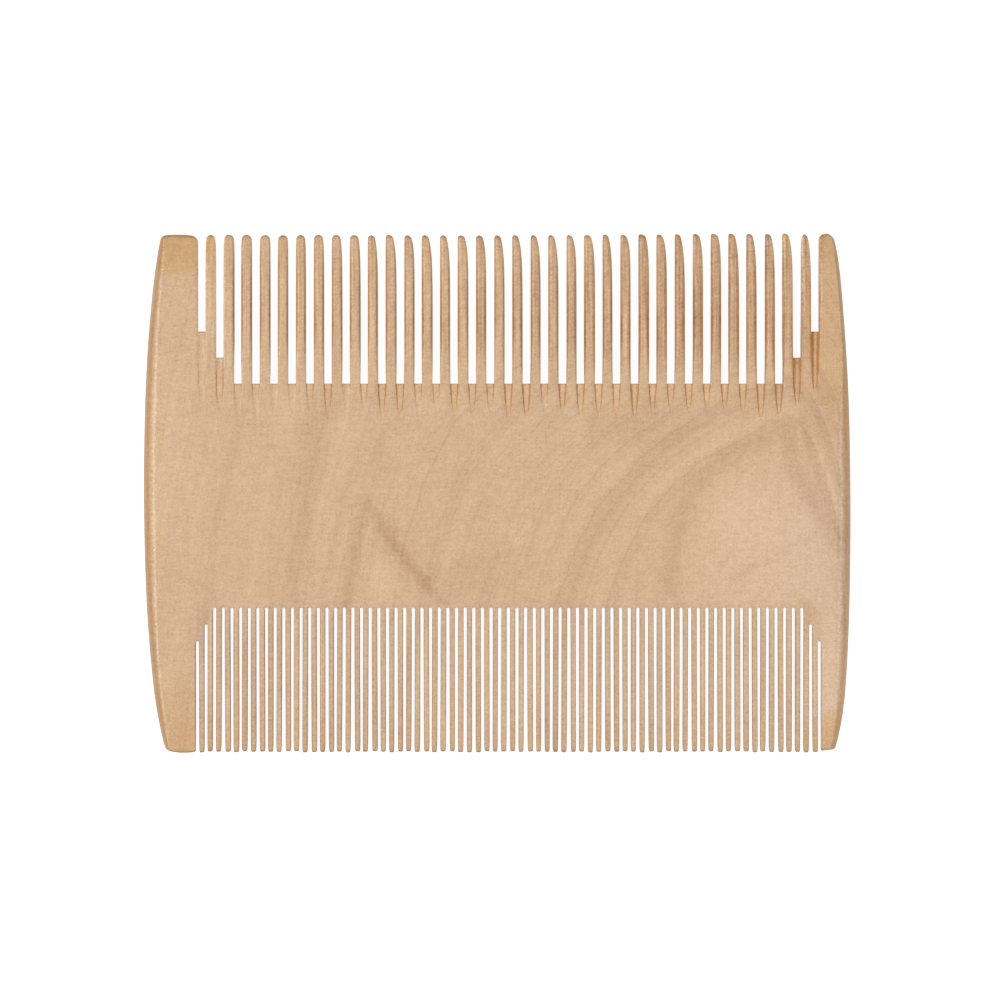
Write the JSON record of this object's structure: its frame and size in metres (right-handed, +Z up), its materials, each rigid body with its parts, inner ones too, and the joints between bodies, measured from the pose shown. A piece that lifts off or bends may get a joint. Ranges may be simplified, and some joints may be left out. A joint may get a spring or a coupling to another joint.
{
  "type": "beard comb",
  "caption": "Flat double-sided wooden beard comb with coarse teeth along one long edge, fine teeth along the other and a thick guard at each corner.",
  "frame": {"origin": "centre of the comb's box in X and Y, on the lower face that it rests on", "axes": "+X along the tooth rows, towards the narrow guards; +Y towards the coarse tips; +Z up, through the thickness"},
  "size_m": [0.095, 0.0698, 0.0044],
  "materials": {
    "wood": "sanded fine-grained hardwood with a satin surface"
  },
  "bodies": {
    "root": {"spine": "wood", "coarse_guard_left": "wood", "coarse_guard_right": "wood", "fine_guard_left": "wood", "fine_guard_right": "wood", "coarse_slot_webs": "wood", "fine_slot_webs": "wood", "fine_teeth": "wood", "coarse_tooth_1": "wood", "coarse_tooth_2": "wood", "coarse_tooth_3": "wood", "coarse_tooth_4": "wood", "coarse_tooth_5": "wood", "coarse_tooth_6": "wood", "coarse_tooth_7": "wood", "coarse_tooth_8": "wood", "coarse_tooth_9": "wood", "coarse_tooth_10": "wood", "coarse_tooth_11": "wood", "coarse_tooth_12": "wood", "coarse_tooth_13": "wood", "coarse_tooth_14": "wood", "coarse_tooth_15": "wood", "coarse_tooth_16": "wood", "coarse_tooth_17": "wood", "coarse_tooth_18": "wood", "coarse_tooth_19": "wood", "coarse_tooth_20": "wood", "coarse_tooth_21": "wood", "coarse_tooth_22": "wood", "coarse_tooth_23": "wood", "coarse_tooth_24": "wood", "coarse_tooth_25": "wood", "coarse_tooth_26": "wood", "coarse_tooth_27": "wood", "coarse_tooth_28": "wood", "coarse_tooth_29": "wood", "coarse_tooth_30": "wood", "coarse_tooth_31": "wood", "coarse_tooth_32": "wood", "coarse_tooth_33": "wood", "coarse_tooth_34": "wood"}
  },
  "joints": []
}
